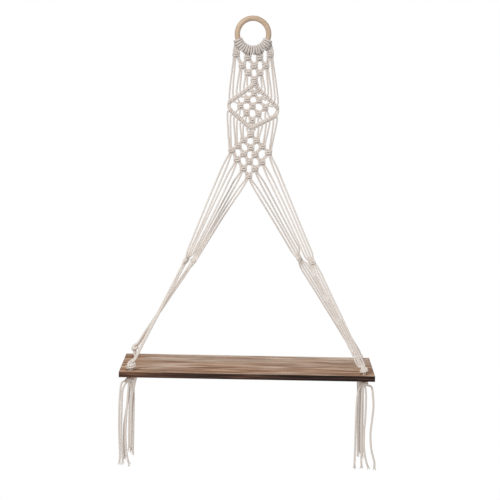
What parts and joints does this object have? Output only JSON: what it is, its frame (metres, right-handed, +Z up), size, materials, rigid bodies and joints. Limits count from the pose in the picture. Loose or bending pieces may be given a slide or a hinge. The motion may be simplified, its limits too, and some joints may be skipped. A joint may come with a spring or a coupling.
{
  "type": "hanging rope shelf",
  "caption": "Wooden board with tasselled ends, hung by legs of knotted cotton cord from a wooden ring, with an open diamond of knots below the ring.",
  "frame": {"origin": "where the ring bears on its nail: the inner top of the ring, at the middle of its thickness", "axes": "+Z up, +X to the right along the board, front towards -Y, the wall behind at +Y"},
  "size_m": [0.4284, 0.14, 0.7586],
  "materials": {
    "beech": "pale turned wood, lightly lacquered",
    "cotton": "twisted natural cotton cord, matt",
    "toasted_wood": "brown stained softwood, satin"
  },
  "bodies": {
    "ring": {"hanging_ring": "beech"},
    "heading": {"ring_hitch_1": "cotton", "ring_hitch_2": "cotton", "ring_hitch_3": "cotton", "ring_hitch_4": "cotton", "ring_hitch_5": "cotton", "ring_hitch_6": "cotton", "ring_hitch_7": "cotton", "ring_hitch_8": "cotton", "heading_knot_1": "cotton", "heading_knot_2": "cotton", "heading_knot_3": "cotton", "heading_knot_4": "cotton"},
    "upper_panel": {"upper_net": "cotton", "diamond_net": "cotton", "diamond_bar_upper_left": "cotton", "diamond_bar_upper_right": "cotton", "diamond_bar_lower_left": "cotton", "diamond_bar_lower_right": "cotton"},
    "shelf_hanger": {"lower_net": "cotton", "leg_fan_front_left": "cotton", "leg_fan_front_right": "cotton", "leg_fan_rear_left": "cotton", "leg_fan_rear_right": "cotton", "leg_cords_front_left": "cotton", "leg_cords_front_right": "cotton", "leg_cords_rear_left": "cotton", "leg_cords_rear_right": "cotton", "top_knot_front_left": "cotton", "top_knot_front_right": "cotton", "top_knot_rear_left": "cotton", "top_knot_rear_right": "cotton", "under_knot_front_left": "cotton", "under_knot_front_right": "cotton", "under_knot_rear_left": "cotton", "under_knot_rear_right": "cotton", "shelf_board": "toasted_wood"},
    "tassel_front_left": {"tassel_cord_front_left_1": "cotton", "tassel_cord_front_left_2": "cotton", "tassel_cord_front_left_3": "cotton", "tassel_cord_front_left_4": "cotton"},
    "tassel_front_right": {"tassel_cord_front_right_1": "cotton", "tassel_cord_front_right_2": "cotton", "tassel_cord_front_right_3": "cotton", "tassel_cord_front_right_4": "cotton"},
    "tassel_rear_left": {"tassel_cord_rear_left_1": "cotton", "tassel_cord_rear_left_2": "cotton", "tassel_cord_rear_left_3": "cotton", "tassel_cord_rear_left_4": "cotton"},
    "tassel_rear_right": {"tassel_cord_rear_right_1": "cotton", "tassel_cord_rear_right_2": "cotton", "tassel_cord_rear_right_3": "cotton", "tassel_cord_rear_right_4": "cotton"}
  },
  "joints": [
    {"name": "side_sway", "type": "hinge", "parent": "ring", "child": "heading", "pos_m": [0, 0, -0.021], "axis": [0, 1, 0], "range_deg": [-15, 15]},
    {"name": "panel_swing", "type": "hinge", "parent": "heading", "child": "upper_panel", "pos_m": [0, 0, -0.0664], "axis": [1, 0, 0], "range_deg": [-20, 20]},
    {"name": "waist_swing", "type": "hinge", "parent": "upper_panel", "child": "shelf_hanger", "pos_m": [0, 0, -0.1784], "axis": [1, 0, 0], "range_deg": [-20, 20]},
    {"name": "tassel_swing_front_left", "type": "hinge", "parent": "shelf_hanger", "child": "tassel_front_left", "pos_m": [-0.193, -0.054, -0.5866], "axis": [1, 0, 0], "range_deg": [-30, 30]},
    {"name": "tassel_swing_front_right", "type": "hinge", "parent": "shelf_hanger", "child": "tassel_front_right", "pos_m": [0.193, -0.054, -0.5866], "axis": [1, 0, 0], "range_deg": [-30, 30]},
    {"name": "tassel_swing_rear_left", "type": "hinge", "parent": "shelf_hanger", "child": "tassel_rear_left", "pos_m": [-0.193, 0.054, -0.5866], "axis": [1, 0, 0], "range_deg": [-30, 30]},
    {"name": "tassel_swing_rear_right", "type": "hinge", "parent": "shelf_hanger", "child": "tassel_rear_right", "pos_m": [0.193, 0.054, -0.5866], "axis": [1, 0, 0], "range_deg": [-30, 30]}
  ]
}
